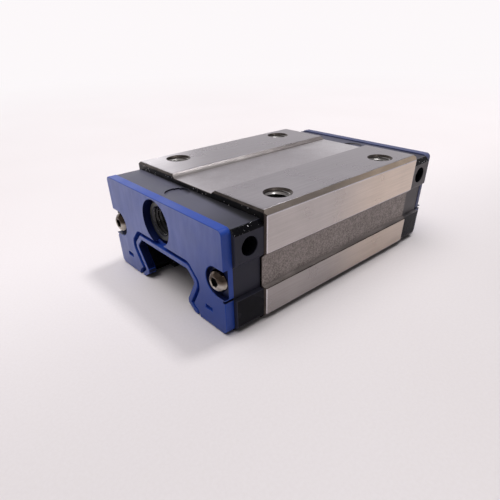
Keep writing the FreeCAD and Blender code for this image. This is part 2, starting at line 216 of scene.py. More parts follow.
def shaded_along(finish, tint, direction, start, stop, near, far):
    """A tint multiplied by a shade that changes from one value to another along a direction; most uses
    paint light and shade with it.
    """
    layer_colour = colours(finish, along(finish, direction, start, stop), near, far, 0.0, 1.0)
    return blended(finish, 1.0, tint, layer_colour, "MULTIPLY")


def relief(finish, surface, pattern, depth):
    """Bumps of that depth in millimetres."""
    bump = add_node(finish, "ShaderNodeBump", Strength=1.0, Distance=depth * mm)
    join(finish, pattern, bump.inputs["Height"])
    join(finish, bump.outputs["Normal"], surface.inputs["Normal"])


print("helpers for films and relief are ready")

# %% [markdown]
# ## The table top
#
# The block stands on a pale, slightly pink sheet with a very fine grain, which runs back so far that
# it fades into white. A sheet that curves up behind the block would do, but a flat plane that turns
# into white with distance has no bend to show in other views. Close to the block it is a plain matt
# surface, which keeps the soft shadow. The light that it throws back at the block is kept lower than
# it looks, so that the sides stay deep in colour.

# %% Table top
table_half = 4.0
table_mesh = bpy.data.meshes.new("table_top")
corners = [(x * table_half, y * table_half, 0) for x, y in ((-1, -1), (1, -1), (1, 1), (-1, 1))]
table_mesh.from_pydata(corners, [], [(0, 1, 2, 3)])
table = bpy.data.objects.new("table_top", table_mesh)
bpy.context.scene.collection.objects.link(table)
print("table top", 2 * table_half, "m wide")

# %% Surface of the sheet
sheet_light = (0.90, 0.85, 0.865)
sheet_gloss = 0.15


def sheet_surface():
    """Fine grain and faint clouds, with painted shade that darkens it towards the near right."""
    finish, surface = new_finish("pale_sheet", (0.88, 0.83, 0.845), roughness=0.75)
    surface.inputs["Specular IOR Level"].default_value = sheet_gloss
    speckle = patches(finish, size=0.5, detail=4.0)
    cloud = patches(finish, size=60.0, detail=1.0)
    tint = blended(finish, 0.5, colours(finish, speckle, (0.865, 0.81, 0.82), sheet_light),
                   colours(finish, cloud, (0.87, 0.815, 0.825), sheet_light))
    # Painted shade: the sheet gets darker towards the near right, where less light falls.
    tint = shaded_along(finish, tint, (0.15, 1, 0), -45.0, 35.0, (0.80, 0.80, 0.80), (0.98, 0.98, 0.98))
    join(finish, tint, surface.inputs["Base Color"])
    relief(finish, surface, speckle, depth=0.02)
    return finish, surface


sheet, sheet_shader = sheet_surface()
print("surface", sheet.name)

# %% Fading into the distance
distance_white = (0.975, 0.94, 0.955, 1)
quiet_floor = (0.60, 0.57, 0.58, 1)
fade_start = 0.08
fade_end = 0.45


def mixed(owner, share, first, second):
    """Two surfaces or two backgrounds mixed by a share."""
    mix = add_node(owner, "ShaderNodeMixShader")
    join(owner, share, mix.inputs["Fac"])
    join(owner, first, mix.inputs[1])
    join(owner, second, mix.inputs[2])
    return mix.outputs["Shader"]


def fade_out(finish, surface):
    """Turn the sheet white in the distance, and quieter in the light that it throws back."""
    reach = add_node(finish, "ShaderNodeVectorMath")
    reach.operation = "LENGTH"
    join(finish, place_on(finish), reach.inputs[0])
    far = soft_step(finish, reach.outputs["Value"], fade_start, fade_end)
    glow = add_node(finish, "ShaderNodeEmission", Color=distance_white, Strength=1.0)
    pale = mixed(finish, far, surface.outputs["BSDF"], glow.outputs["Emission"])
    seen = add_node(finish, "ShaderNodeBsdfDiffuse", Color=quiet_floor).outputs["BSDF"]
    rays = add_node(finish, "ShaderNodeLightPath")
    for ray in ("Is Camera Ray", "Is Glossy Ray", "Is Transmission Ray"):
        seen = mixed(finish, rays.outputs[ray], seen, pale)
    join(finish, seen, finish.node_tree.nodes["Material Output"].inputs["Surface"])


fade_out(sheet, sheet_shader)
table_mesh.materials.append(sheet)
print("white from", fade_end, "m on")

# %% [markdown]
# ## The room
#
# Soft light reaches the block from above, most of it from a patch of ceiling a little to the front
# left. A picture of a studio could light the scene, but a few shades worked out from the direction
# are easier to set and need no file. Matt parts get a fill that grows towards that patch. Metal shows
# what stands around it, so reflections see walls that are white near the table and darker towards the
# ceiling, and a plain dull grey on the side of the camera. The camera itself sees white.

# %% Fill light of the room
bright_side = (-0.20, 0.14, 0.97)
fill_colour = (1.0, 0.985, 0.99, 1)
fill_low = 0.10
fill_high = 3.9
fill_start = 0.80
world = bpy.data.worlds.new("room")
bpy.context.scene.world = world
world.use_nodes = True
direction = add_node(world, "ShaderNodeTexCoord").outputs["Generated"]


def background(colour):
    """One background of the room."""
    return add_node(world, "ShaderNodeBackground", Color=colour)


fill = background(fill_colour)
towards = reach_along(world, direction, bright_side)
join(world, numbers(world, towards, fill_low, fill_high, fill_start, 1.0), fill.inputs["Strength"])
print("room fill from", fill_low, "to", fill_high)

# %% Walls of the room
wall_shades = ((0.03, 0.92), (0.20, 0.55), (0.36, 0.50), (0.52, 0.26), (0.85, 0.20))
wall_green = 0.965
dark_side = (-0.70, -0.70, 0.15)
dark_reach = 0.35
dark_corner = (0.33, 0.315, 0.31, 1)
walls = background((1, 1, 1, 1))
height = add_node(world, "ShaderNodeSeparateXYZ")
shade = add_node(world, "ShaderNodeValToRGB")
while len(shade.color_ramp.elements) < len(wall_shades):
    shade.color_ramp.elements.new(0.5)
for element, (level, brightness) in zip(shade.color_ramp.elements, wall_shades):
    element.position = level
    element.color = (brightness, wall_green * brightness, brightness, 1)
join(world, direction, height.inputs["Vector"])
join(world, height.outputs["Z"], shade.inputs["Fac"])
join(world, shade.outputs["Color"], walls.inputs["Color"])
facing = reach_along(world, direction, dark_side)
dimming = numbers(world, facing, 0.0, 1.0, 0.0, dark_reach)
corner = background(dark_corner)
mirrored = mixed(world, dimming, walls.outputs["Background"], corner.outputs["Background"])
print("wall shades", len(wall_shades))

# %% What each kind of ray sees
rays = add_node(world, "ShaderNodeLightPath")
plain_white = background(distance_white)
seen = mixed(world, rays.outputs["Is Glossy Ray"], fill.outputs["Background"], mirrored)
seen = mixed(world, rays.outputs["Is Transmission Ray"], seen, mirrored)
seen = mixed(world, rays.outputs["Is Camera Ray"], seen, plain_white.outputs["Background"])
join(world, seen, world.node_tree.nodes["World Output"].inputs["Surface"])
bpy.context.scene.view_settings.view_transform = "Standard"
print("view transform", bpy.context.scene.view_settings.view_transform)

# %% [markdown]
# ## The window
#
# A low, wide window stands behind the block on the left. It is what the front of the left pad
# mirrors, and it draws the light lines along the edges that face it. A glowing plane could stand for
# it, but an area light of the window's size gives the same mirror image with less noise. Its soft
# light on matt things is part of the room's fill already.

# %% Window
window_place = Vector((-0.02, 0.60, 0.20))
window_aim = Vector((0, 0, 0.01))
window_width = 0.75
window_height = 0.26
window_brightness = 1.05


def area_lamp(name, place, width, length, brightness):
    """An area light whose face has that brightness, hidden from the camera."""
    light = bpy.data.lights.new(name, "AREA")
    light.shape = "RECTANGLE"
    light.size = width
    light.size_y = length
    light.energy = brightness * math.pi * width * length
    lamp = bpy.data.objects.new(name, light)
    lamp.location = place
    lamp.visible_camera = False
    bpy.context.scene.collection.objects.link(lamp)
    print(name, round(light.energy, 2), "W")
    return lamp


def turn_to(lamp, aim):
    """Turn a lamp so that its face looks at a place."""
    lamp.rotation_mode = "QUATERNION"
    lamp.rotation_quaternion = (aim - lamp.location).to_track_quat("-Z", "Y")


window = area_lamp("window", window_place, window_width, window_height, window_brightness)
turn_to(window, window_aim)
window.visible_diffuse = False

# %% [markdown]
# ## The ceiling lamp
#
# A long lamp under the ceiling shows as small white glints on glossy edges, on threads and on the
# round corner of the seal. Bright specks could be painted there, but they would not move with the
# view, so a lamp is hung up that is only there for such mirror images.

# %% Ceiling lamp
lamp_place = Vector((0.23, -0.24, 0.80))
lamp_length = 1.0
lamp_width = 0.08
lamp_turn = 44.0
lamp_brightness = 10.0
ceiling_lamp = area_lamp("ceiling_lamp", lamp_place, lamp_length, lamp_width, lamp_brightness)
ceiling_lamp.rotation_euler = (0, 0, math.radians(lamp_turn))
ceiling_lamp.visible_diffuse = False

# %% [markdown]
# ## The back lamp
#
# A soft lamp above and behind the block casts the shadow that lies in front of the seal. A point lamp
# would give it a hard edge and a large one would wash it out, so it is a small area light, whose
# shadow is soft but can be seen. Polished things do not mirror it.

# %% Back lamp
back_place = Vector((0.34, 0.0, 0.82))
back_size = 0.14
back_brightness = 46.0
back_lamp = area_lamp("back_lamp", back_place, back_size, back_size, back_brightness)
turn_to(back_lamp, Vector((0, 0, 0)))
back_lamp.visible_glossy = False

# %% [markdown]
# ## Ground steel
#
# The carriage is one bar of hardened steel, and each face shows the tool that made it last. The pads
# and the side bands are ground: the wheel leaves fine lines and a soft shine. A stretched highlight
# could stand for the lines, but noise that is drawn out along the block really puts them there, as
# faint colour and as a very shallow relief. The cut threads are bright in the same way. A shade ramp
# paints reflection on the pads and bands: the pads are lighter at the near right, the bands darker at
# the near end and warm at the far end, and the lower bands are a darker copy, which is painted shade.

# %% Ground steel
along_block, upright = 0, 2
untinted = (1, 1, 1)
line_stretch = 40.0
lengthwise = ((1, 0, 0), -10.0, 12.0)


def dress(finish, surface, tint, wear, smoothest, roughest, bumps, depth):
    """Give a shader its colour, a roughness that changes with wear, and its relief."""
    join(finish, tint, surface.inputs["Base Color"])
    join(finish, numbers(finish, wear, smoothest, roughest), surface.inputs["Roughness"])
    relief(finish, surface, bumps, depth)
    return finish


def ground_steel(name, lines_along, line, dark, light, shade_ramp=None):
    """Steel with wheel lines along one axis, and perhaps a shade ramp as in shaded_along, which paints
    light and shade on it.
    """
    finish, surface = new_finish(name, light, roughness=0.3, metallic=1.0)
    stretch = [1.0, 1.0, 1.0]
    stretch[lines_along] = line_stretch
    lines = patches(finish, line, stretch)
    cloud = patches(finish, size=7.0, detail=3.0)
    tint = blended(finish, 0.5, colours(finish, lines, dark, light), colours(finish, cloud, dark, light))
    if shade_ramp:
        tint = shaded_along(finish, tint, *shade_ramp)
    return dress(finish, surface, tint, cloud, 0.26, 0.36, lines, depth=0.0008)


# Painted reflection: the pads are lighter towards the near right.
pad_steel = ground_steel("ground_pads", along_block, 0.45, (0.57, 0.535, 0.56), (0.67, 0.635, 0.66),
                         ((0.5, 0.87, 0), -24.0, -8.0, untinted, (0.91, 0.91, 0.91)))
# Painted reflection: the bands are darker at the near end and warm at the far end.
band_steel = ground_steel("ground_side_bands", along_block, 0.30, (0.54, 0.52, 0.51),
                          (0.67, 0.645, 0.635), (*lengthwise, (0.75, 0.72, 0.715), (1.0, 0.88, 0.77)))
# Painted shade: the lower bands are a darker copy of the upper ones, with the same painted reflection.
low_band_steel = ground_steel("lower_side_bands", along_block, 0.30, (0.445, 0.425, 0.42),
                              (0.55, 0.53, 0.525), (*lengthwise, (0.70, 0.67, 0.665), (1.0, 0.88, 0.77)))
thread_steel = ground_steel("cut_threads", upright, 0.30, (0.38, 0.36, 0.35), (0.52, 0.50, 0.49))
print("ground", [finish.name for finish in (pad_steel, band_steel, low_band_steel, thread_steel)])

# %% [markdown]
# ## Milled steel
#
# The floor between the pads is milled and lies a little lower. It has no wheel lines: it is mottled,
# with a fine grain, and a painted reflection darkens its near end, so it is brightest at the far end.
# Cutter marks could be drawn as arcs, but none can be seen on it, so two sizes of noise do.

# %% Milled steel
def milled_steel():
    """Floor between the pads: faintly mottled, with painted reflection that darkens its near end."""
    finish, surface = new_finish("milled_steel", (0.5, 0.48, 0.48), roughness=0.4, metallic=1.0)
    mottle = patches(finish, size=2.2, detail=5.0)
    fine = patches(finish, size=0.35, detail=3.0)
    tint = blended(finish, 0.4, colours(finish, mottle, (0.84, 0.80, 0.82), (0.97, 0.945, 0.965)),
                   colours(finish, fine, (0.81, 0.77, 0.78), (0.98, 0.955, 0.975)))
    # Painted reflection: darker at the near end, untinted towards the far end.
    tint = shaded_along(finish, tint, (1, 0, 0), 4.0, 22.0, (0.70, 0.685, 0.695), untinted)
    return dress(finish, surface, tint, mottle, 0.28, 0.36, fine, depth=0.003)


floor_steel = milled_steel()
print("milled", floor_steel.name)

# %% [markdown]
# ## Blasted steel
#
# The recess along each side is shot-blasted, which leaves it rough, brown-grey and speckled. Every
# pit could be shaped, but they are far too many and too fine: noise of a quarter of a millimetre
# gives their colour, their roughness and their relief.

# %% Blasted steel
def blasted_steel():
    """Side recess: rough, brown-grey and speckled."""
    finish, surface = new_finish("blasted_steel", (0.25, 0.22, 0.21), roughness=0.6, metallic=0.85)
    pits = patches(finish, size=0.28, detail=3.0)
    cloud = patches(finish, size=1.6)
    tint = blended(finish, 0.3, colours(finish, pits, (0.115, 0.095, 0.09), (0.42, 0.38, 0.36)),
                   colours(finish, cloud, (0.22, 0.19, 0.18), (0.345, 0.306, 0.29)))
    return dress(finish, surface, tint, pits, 0.5, 0.7, pits, depth=0.05)


recess_steel = blasted_steel()
print("blasted", recess_steel.name)

# %% [markdown]
# ## Dark steel
#
# The chamfers, the ends and the channel keep the skin from the heat treatment, worn lighter in
# patches, with bright flecks on the ends that are painted glints. The steps beside the floor and the
# slopes of the recess are only dull. Each could be a finish of its own, but they differ in colour
# alone, so one recipe serves for all. On the chamfers a shade ramp paints reflection, darker and
# bluer at the near end, and the steps get darker towards the far end.

# %% Dark steel
glint_edge = 0.03
glint_share = 0.70


def with_painted_glints(finish, tint, glint_colour, size):
    """A tint with small bright flecks, which are painted glints."""
    spots = patches(finish, size, detail=1.0)
    glint_spots = numbers(finish, spots, 0.0, 1.0, glint_share, glint_share + glint_edge)
    return blended(finish, glint_spots, tint, (*glint_colour, 1))


def skin_steel(name, dark, light, glint_colour=None, shade_ramp=None):
    """The dark skin that heat treatment leaves, worn lighter in patches, perhaps with painted glints or a
    shade ramp.
    """
    finish, surface = new_finish(name, dark, roughness=0.45, metallic=0.9)
    worn = patches(finish, size=2.5, stretch=(2.5, 1, 1), detail=4.0)
    fine = patches(finish, size=0.3)
    tint = colours(finish, worn, dark, light, 0.45, 0.75)
    if glint_colour:
        tint = with_painted_glints(finish, tint, glint_colour, size=0.45)
    if shade_ramp:
        tint = shaded_along(finish, tint, *shade_ramp)
    return dress(finish, surface, tint, fine, 0.36, 0.5, fine, depth=0.012)


# Painted reflection: the chamfers are darker and bluer at the near end.
chamfer_steel = skin_steel("dark_chamfers", (0.54, 0.44, 0.345), (0.73, 0.61, 0.485),
                           shade_ramp=(*lengthwise, (0.465, 0.485, 0.54), (0.95, 0.92, 0.90)))
# Painted glints: small bright flecks on the black ends.
end_steel = skin_steel("black_ends", (0.02, 0.02, 0.022), (0.05, 0.047, 0.045), glint_colour=(0.9, 0.88, 0.85))
channel_steel = skin_steel("dark_channel", (0.10, 0.095, 0.09), (0.2, 0.19, 0.18))
foot_steel = skin_steel("dark_foot_chamfers", (0.05, 0.04, 0.036), (0.10, 0.085, 0.075))
slope_steel = skin_steel("dull_slopes", (0.20, 0.175, 0.165), (0.30, 0.265, 0.25))
# Painted shade for the depths of the holes.
deep_steel = skin_steel("painted_shade_hole_depths", (0.02, 0.018, 0.018), (0.04, 0.037, 0.036))
# The steps get darker towards the far end.
step_steel = skin_steel("dull_steps", (0.42, 0.385, 0.38), (0.57, 0.525, 0.52),
                        shade_ramp=((1, 0, 0), -18.0, 14.0, untinted, (0.66, 0.64, 0.64)))
dark_steels = (chamfer_steel, end_steel, channel_steel, foot_steel, slope_steel, deep_steel, step_steel)
print("dark", [finish.name for finish in dark_steels])

# %% [markdown]
# ## Black plastic
#
# The caps are black moulded plastic with a fine texture. They are not black all over: the top is
# lighter with dust and painted light, with painted shade on its right and along the seam with the
# steel, and the whole far cap is lighter than the near one. The edges of the top are glossy, with
# painted glints. The low parts, the pilots, the parts behind the seal and the port get painted shade,
# the port painted glints too, and the boss is worn pale, with painted light above and painted shade
# below. Dust could be scattered as grains, but at this size it only lightens the colour. So one recipe
# has two shades, a grain and a set gloss, and takes dust, painted glints or a shade ramp where needed.

# %% Painted sheen, dust and painted shade
sheen_up = (0, 0.5, 0.87)
seam_lean = 0.06


def with_smears_and_painted_sheen(finish, tint, layer_colour):
    """A tint with a painted sheen, pale and smeared, which fades out towards the lower right."""
    # Painted sheen: pale towards the upper left, fading out towards the lower right.
    sheen_fade = along(finish, sheen_up, -6.0, 15.0)
    streaks = patches(finish, size=3.0, stretch=(1, 0.5, 2.0), detail=4.0)
    smears = colours(finish, streaks, (0.7, 0.7, 0.7), untinted)
    pale = colours(finish, sheen_fade, (0, 0, 0), layer_colour, 0.0, 1.0)
    return blended(finish, 1.0, tint, blended(finish, 1.0, pale, smears, "MULTIPLY"), "ADD")


def with_dust_and_painted_shade(finish, tint):
    """A tint with dust, painted shade that darkens it on the right, and painted shade that is nearly black
    along the seam with the steel.
    """
    # Painted shade towards the right edge of the top.
    tint = shaded_along(finish, tint, (0, 1, 0), -19.0, -8.0, (0.55, 0.55, 0.55), untinted)
    # Painted shade, nearly black, along the seam with the steel at each end.
    for outward in (-1, 1):
        off_seam = (outward, -seam_lean * outward, 0)
        seam_shade = shaded_along(finish, tint, off_seam, 23.9, 25.4, (0.10, 0.10, 0.10), untinted)
        this_end = along(finish, (outward, 0, 0), -1.0, 1.0)
        tint = blended(finish, this_end, tint, seam_shade)
    return tint


print("film and dust are ready")

# %% Recipe for mouldings
smoother, rougher = 0.05, 0.06


def moulded(name, dark, light, roughness, grain, depth, gloss=0.5, layer_colour=None, dust_and_painted_light=False,
            glint_colour=None, shade_ramp=None):
    """A moulded plastic: two shades, a grain, a set gloss, perhaps painted sheen, dust with painted shade,
    painted glints or a shade ramp.
    """
    finish, surface = new_finish(name, dark, roughness)
    surface.inputs["Specular IOR Level"].default_value = gloss
    cloud = patches(finish, size=5.0, detail=3.0)
    fine = patches(finish, grain)
    tint = colours(finish, cloud, dark, light)
    if layer_colour:
        tint = with_smears_and_painted_sheen(finish, tint, layer_colour)
    if dust_and_painted_light:
        tint = with_dust_and_painted_shade(finish, tint)
    if glint_colour:
        tint = with_painted_glints(finish, tint, glint_colour, size=0.35)
    if shade_ramp:
        tint = shaded_along(finish, tint, *shade_ramp)
    return dress(finish, surface, tint, cloud, roughness - smoother, roughness + rougher, fine, depth)


print("recipe for mouldings is ready")

# %% Finishes of the caps
# The near cap is made darker and bluer than the far one.
cap_black = moulded("black_cap", (0.125, 0.116, 0.122), (0.160, 0.149, 0.155), 0.5, 0.12, 0.004, gloss=0.2,
                    shade_ramp=((1, 0, 0), 0.0, 20.0, (0.20, 0.216, 0.328), untinted))
# Dust and painted light: the top is lighter than the sides.
cap_dust_and_light = moulded("dusty_cap_top_painted_light", (0.082, 0.082, 0.118), (0.098, 0.098, 0.140), 0.5, 0.12, 0.004,
                    gloss=0.4, dust_and_painted_light=True)
# Painted glints: small bright flecks on the glossy edges of the top.
cap_gloss = moulded("glossy_cap_edges", (0.003, 0.003, 0.004), (0.006, 0.006, 0.008), 0.12, 0.5, 0.05,
                    gloss=0.1, glint_colour=(0.75, 0.75, 0.78))
# Painted shade on the low sides, in the pilots and on the parts behind the seal.
cap_in_shade = moulded("cap_painted_shade", (0.007, 0.007, 0.010), (0.012, 0.012, 0.017), 0.25, 0.3, 0.006, gloss=0.06)
# Painted shade in the port, darker on its upper part, with painted glints in its thread.
cap_port = moulded("port_painted_shade_and_glints", (0.005, 0.005, 0.007), (0.009, 0.009, 0.012), 0.15, 0.3, 0.02,
                   glint_colour=(0.80, 0.80, 0.78), shade_ramp=((0, -0.5, -0.87), -14.6, -12.8, (0.5, 0.5, 0.5), untinted))
# Worn pale, with painted light on the upper part of the boss and painted shade on its lower part.
cap_boss = moulded("worn_and_lit_boss", (0.13, 0.127, 0.115), (0.20, 0.193, 0.175), 0.3, 0.3, 0.006, gloss=0.15,
                   shade_ramp=((0, -0.35, 0.94), 12.5, 18.0, (0.18, 0.20, 0.22), untinted))
cap_looks = [cap_black, cap_dust_and_light, cap_gloss, cap_in_shade, cap_boss, cap_port]
matt, dust_and_painted_light, glossy, in_shade, worn, shaded_port = range(len(cap_looks))
print("caps", [finish.name for finish in cap_looks])

# %% [markdown]
# ## Blue seals and inner plastic
#
# The seals are blue and satin. Their faces carry a painted sheen, pale and smeared, that fades out
# towards the lower right. The screw pockets and the walls of the openings get painted shade, and the
# rim of the far seal is greyer. The guides and strips inside are smooth dark plastic and the bottom
# seals are matt rubber. All are moulded, so the recipe of the caps makes them too.

# %% Finishes of seals, guides and strips
seal_blue = moulded("blue_seal", (0.011, 0.054, 0.33), (0.016, 0.062, 0.37), 0.42, 0.25, 0.003, gloss=0.35)
# The far seal has a greyer rim than the near one.
seal_far_rim = moulded("greyer_far_seal_rim", (0.065, 0.078, 0.17), (0.085, 0.098, 0.21), 0.45, 0.25, 0.003,
                     gloss=0.35)
# Painted sheen on the front face of each seal.
seal_face = moulded("seal_face_painted_sheen", (0.008, 0.044, 0.27), (0.012, 0.050, 0.30), 0.36, 0.25, 0.003,
                    gloss=0.33, layer_colour=(0.168, 0.174, 0.22))
# Painted shade in the screw pockets and on the walls of the openings.
seal_dark = moulded("painted_shade_pockets", (0.004, 0.008, 0.042), (0.006, 0.012, 0.066), 0.3, 0.25, 0.003,
                    gloss=0.25)
guide_dark = moulded("dark_guides", (0.02, 0.02, 0.022), (0.03, 0.03, 0.033), 0.3, 0.2, 0.003)
strip_dark = moulded("dark_strips", (0.03, 0.03, 0.033), (0.045, 0.045, 0.05), 0.35, 0.2, 0.004)
rubber_black = moulded("matt_bottom_seals", (0.012, 0.012, 0.013), (0.02, 0.02, 0.022), 0.65, 0.3, 0.01,
                       gloss=0.3)
print("seals", [finish.name for finish in (seal_blue, seal_far_rim, seal_face, seal_dark)])
print("inside", [finish.name for finish in (guide_dark, strip_dark, rubber_black)])

# %% [markdown]
# ## Plated metal
#
# The screws are nickel plated, with a painted reflection that makes the upper half of their heads
# dark brown, and painted shade in their sockets. The balls are polished and the plug is blackened.
# A plain mirror would look new, so faint stains change both the colour and the gloss.

# %% Plated metal
stain_roughness = 0.1


def plated(name, dark, light, roughness, shade_ramp=None):
    """Bright plating with faint stains, and perhaps a shade ramp."""
    finish, surface = new_finish(name, light, roughness, metallic=1.0)
    stain = patches(finish, size=0.9, detail=3.0)
    tint = colours(finish, stain, dark, light)
    if shade_ramp:
        tint = shaded_along(finish, tint, *shade_ramp)
    return dress(finish, surface, tint, stain, roughness, roughness + stain_roughness, stain, depth=0.004)


# Painted reflection: the upper half of each head is darker and browner.
screw_nickel = plated("nickel_screws", (0.31, 0.275, 0.235), (0.43, 0.40, 0.36), 0.12,
                      shade_ramp=((0, 0, 1), 10.3, 11.2, untinted, (0.22, 0.18, 0.16)))
# Painted shade in the hexagon sockets.
socket_dark = plated("painted_shade_sockets", (0.02, 0.018, 0.016), (0.05, 0.045, 0.04), 0.4)
ball_chrome = plated("polished_balls", (0.70, 0.70, 0.71), (0.80, 0.80, 0.81), 0.05)
plug_black = plated("blackened_plug", (0.06, 0.06, 0.062), (0.12, 0.12, 0.125), 0.35)
print("plated", [finish.name for finish in (screw_nickel, socket_dark, ball_chrome, plug_black)])

# %% [markdown]
# ## Softened edges
#
# A frame node has perfectly sharp edges, and no real edge is sharp: a ground edge is broken with a
# stone and a moulded one fills a rounded mould. The light line on an edge comes from that small
# round. A bevel modifier that goes by angle would round every sharp edge, so each main piece is a copy
# of its node with the doubled corners joined, the flat faces merged and only chosen outer edges
# beveled. The bevel is kept off places where many fine edges meet.

# %% Helpers for softened pieces
joined_within = 0.0005
flat_within = 0.6
edge_round = 0.12
sharp_from = 30


def clean_shell(node):
    """The surface of a frame node, joined up and with its flat faces merged."""
    shell = bmesh.new()
    shell.from_mesh(nodes[node].data)
    bmesh.ops.remove_doubles(shell, verts=shell.verts, dist=joined_within * mm)
    bmesh.ops.dissolve_limit(shell, angle_limit=math.radians(flat_within), verts=shell.verts,
                             edges=shell.edges)
    return shell


def edge_middle(edge):
    """The point half way along an edge."""
    return (edge.verts[0].co + edge.verts[1].co) / 2


def break_edges(shell, allowed, finish):
    """Round the sharp outward edges where it is allowed."""
    sharp = []
    for edge in shell.edges:
        if edge.is_manifold and edge.is_convex and allowed(edge_middle(edge)):
            if edge.calc_face_angle() > math.radians(sharp_from):
                sharp.append(edge)
    bmesh.ops.bevel(shell, geom=sharp, offset=edge_round * mm, offset_type="OFFSET", segments=2,
                    profile=0.5, affect="EDGES", clamp_overlap=False, material=finish)
    print("softened", len(sharp), "edges")


print("helpers for softened pieces are ready")

# %% Helper that shows a piece
def show(shell, name, finishes, node, smooth_angle=40):
    """Turn a surface into a piece that rides on the block in place of its node."""
    print("open edges", sum(edge.is_boundary for edge in shell.edges))
    mesh = bpy.data.meshes.new(name)
    shell.to_mesh(mesh)
    shell.free()
    for finish in finishes:
        mesh.materials.append(finish)
    mesh.shade_smooth()
    mesh.set_sharp_from_angle(angle=math.radians(smooth_angle))
    piece = bpy.data.objects.new(name, mesh)
    bpy.context.scene.collection.objects.link(piece)
    even = piece.modifiers.new("even_shading", "WEIGHTED_NORMAL")
    even.keep_sharp = True
    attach(piece, "block")
    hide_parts(node)
    print(name, len(mesh.polygons), "faces")


print("the helper that shows a piece is ready")

# %% [markdown]
# ## Turned shapes and threads
#
# Holes, ports and screws are all turned shapes. A screw modifier can spin an outline, but not one that
# changes on the way round. So rings of corners are set round an axis with a skin between them. A ring
# may be round, it may be a hexagon, or it may follow a thread, whose reach changes with the turn so
# that the ridge climbs by one pitch each time round. One helper makes all of them.

# %% Helpers for turned shapes
def turned(shell, spot, rows, columns, finish=0):
    """Rings of corners, one for each row of depth and reach, with a skin between them."""
    rings = []
    for depth, reach in rows:
        ring = []
        for column in range(columns):
            turn = 2 * math.pi * column / columns
            distance = reach(turn) if callable(reach) else reach
            ring.append(shell.verts.new(spot(depth * mm, distance * mm, turn)))
        rings.append(ring)
    for outer, inner in zip(rings, rings[1:]):
        for column in range(columns):
            after = (column + 1) % columns
            face = shell.faces.new((outer[column], outer[after], inner[after], inner[column]))
            face.material_index = finish
    return rings


def closed(shell, ring, middle, finish=0):
    """Close the end of a turned shape with a fan of faces."""
    point = shell.verts.new(middle)
    for corner, after in zip(ring, ring[1:] + ring[:1]):
        face = shell.faces.new((corner, after, point))
        face.material_index = finish


print("helpers for turned shapes are ready")

# %% Helpers for threads
crest_share = 0.12
flank_share = 0.7
first_ring = 0.03
fine_steps = 8
round_columns = 48


def thread(depth, crest, root, pitch):
    """Reach of a thread at one depth, as a function of the turn."""
    def reach(turn):
        phase = (depth / pitch + turn / (2 * math.pi)) % 1.0
        slope = min(max((abs(2 * phase - 1) - crest_share) / flank_share, 0.0), 1.0)
        return crest + (root - crest) * slope
    return reach


def widest(reach, cone):
    """A thread that is cut away by the cone of its mouth."""
    return lambda turn: max(reach(turn), cone)


def threaded_rows(bottom, mouth, core, root, pitch):
    """Mouth cone and thread of a hole down to a depth, by depth and reach."""
    rows = []
    depth = first_ring
    while depth < bottom:
        rows.append((depth, widest(thread(depth, core, root, pitch), mouth - depth)))
        depth += pitch / fine_steps
    return rows


print("helpers for threads are ready")

# %% Helpers for setting a hole into a surface
slack = 0.01


def take_out(shell, inside):
    """Delete the faces whose corners all pass the test."""
    smooth = [face for face in shell.faces if all(inside(corner.co) for corner in face.verts)]
    bmesh.ops.delete(shell, geom=smooth, context="FACES")


def ring_edges(ring):
    """The edges between the neighbours of a ring."""
    found = []
    for corner, after in zip(ring, ring[1:] + ring[:1]):
        found.append(next(edge for edge in corner.link_edges if after in edge.verts))
    return found


def open_edges(shell, inside):
    """Edges of a hole that was cut in a surface, where the middle passes the test."""
    return [edge for edge in shell.edges if edge.is_boundary and inside(edge_middle(edge))]


print("helpers for setting a hole are ready")

# %% [markdown]
# ## The faces of the end caps
#
# A cap is one black moulding, and its outer edges are slightly round from the mould. Which finish a
# face has could be painted by hand, but where the face is and which way it looks tell it as well, and
# the rule then holds for both caps.

# %% Faces of the end caps
squarely, flat_up, mostly = 0.9, 0.95, 0.5
on_face = 0.1
boss_front = 31.0
past_cap_face = 30.3
cap_top = 19.0
cap_step = 7.05
pilot_place, pilot_height, pilot_reach = 26.98, 16.75, 1.8
top_recess_foot, top_recess_half = 19.5, 4.0
outer_side, upper_part = 16.5, 18.0
slant_side, slant_up = 16.0, 0.97


def cap_look(face):
    """Which finish a face of the moulding has: matt, dust and painted light, painted shade or worn and lit.
    """
    place = face.calc_center_median()
    if abs(face.normal.x) > squarely and abs(place.x) > (boss_front - on_face) * mm:
        return worn
    # The top gets dust and painted light.
    if face.normal.z > flat_up and place.z > cap_top * mm:
        return dust_and_painted_light
    low = abs(face.normal.y) > mostly and place.z < cap_step * mm
    spread = max(math.hypot(abs(corner.co.x) - pilot_place * mm, corner.co.z - pilot_height * mm)
                 for corner in face.verts)
    # Painted shade on the low sides, in the pilots and on the parts behind the seal.
    return in_shade if low or spread < pilot_reach * mm or abs(place.x) > past_cap_face * mm else matt


def cap_edge(middle):
    """Where the moulding is softened: its outside, its top and the boss, but not the recess on top."""
    if middle.z > top_recess_foot * mm and abs(middle.y) < top_recess_half * mm:
        return False
    outside = abs(middle.y) > outer_side * mm or middle.z > upper_part * mm
    return outside or abs(middle.x) > past_cap_face * mm


def is_top_edge(face):
    """True for the long slanted edges of the top, which are polished by handling."""
    place = face.calc_center_median()
    return abs(place.y) > slant_side * mm and place.z > cap_top * mm and face.normal.z < slant_up


print("rules for the faces of the caps are ready")

# %% [markdown]
# ## The grease port and the caps
#
# The grease port in a cap has a cut thread for the nipple. Bump could fake it, but the port is wide
# open and the ridges catch the light, so they are shaped: the smooth bore of the frame is taken out
# and a threaded one is set in, from the boss down to the fine drilling.

# %% Rows of the grease port
port_mouth = 3.0
port_core = 2.6
port_root = 2.93
port_pitch = 0.75
port_bottom = 4.3
port_drilling = 0.9
port_runout = 0.5
port_corner, corner_round = 0.15, 0.02
ring_gap = 0.05


